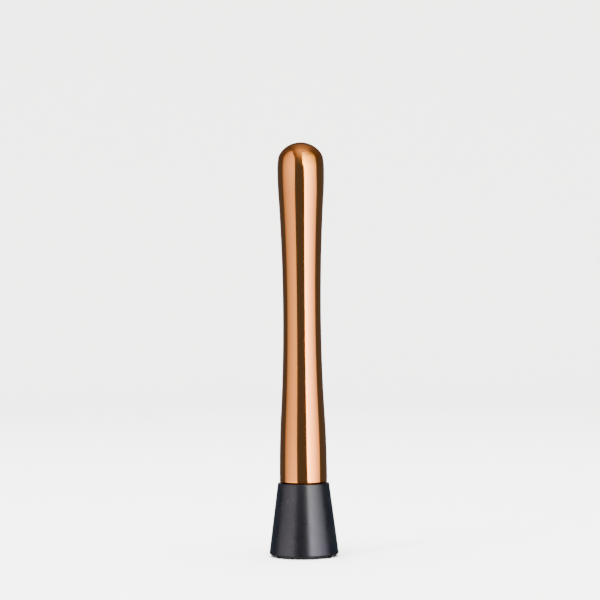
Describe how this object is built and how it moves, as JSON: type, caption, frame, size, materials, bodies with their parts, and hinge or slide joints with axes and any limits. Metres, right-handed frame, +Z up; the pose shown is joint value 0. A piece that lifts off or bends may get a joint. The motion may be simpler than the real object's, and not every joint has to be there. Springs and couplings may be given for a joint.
{
  "type": "cocktail muddler",
  "caption": "Cocktail muddler: hollow waisted steel handle with a domed end, polished copper finish, and a bolted conical nylon head with a toothed sole.",
  "frame": {"origin": "middle of the sole, at the tips of the head's teeth", "axes": "+Z up along the muddler from its toothed sole to its domed end; the object is round about Z, and +X and +Y run along the rows of teeth"},
  "size_m": [0.036, 0.036, 0.215],
  "materials": {
    "copper_finish": "mirror polished, copper-coloured hard coating on stainless steel",
    "nylon": "charcoal moulded nylon, satin with a fine grain",
    "seal_rubber": "black nitrile, smooth",
    "zinc_plated_steel": "bright zinc plate",
    "bare_steel": "pressed stainless sheet, mill finish"
  },
  "bodies": {
    "root": {"handle_tube": "copper_finish", "end_cap": "copper_finish", "head": "nylon", "seal_ring": "seal_rubber", "hex_bolt": "zinc_plated_steel", "closing_disc": "bare_steel", "weld_nut": "zinc_plated_steel"}
  },
  "joints": []
}
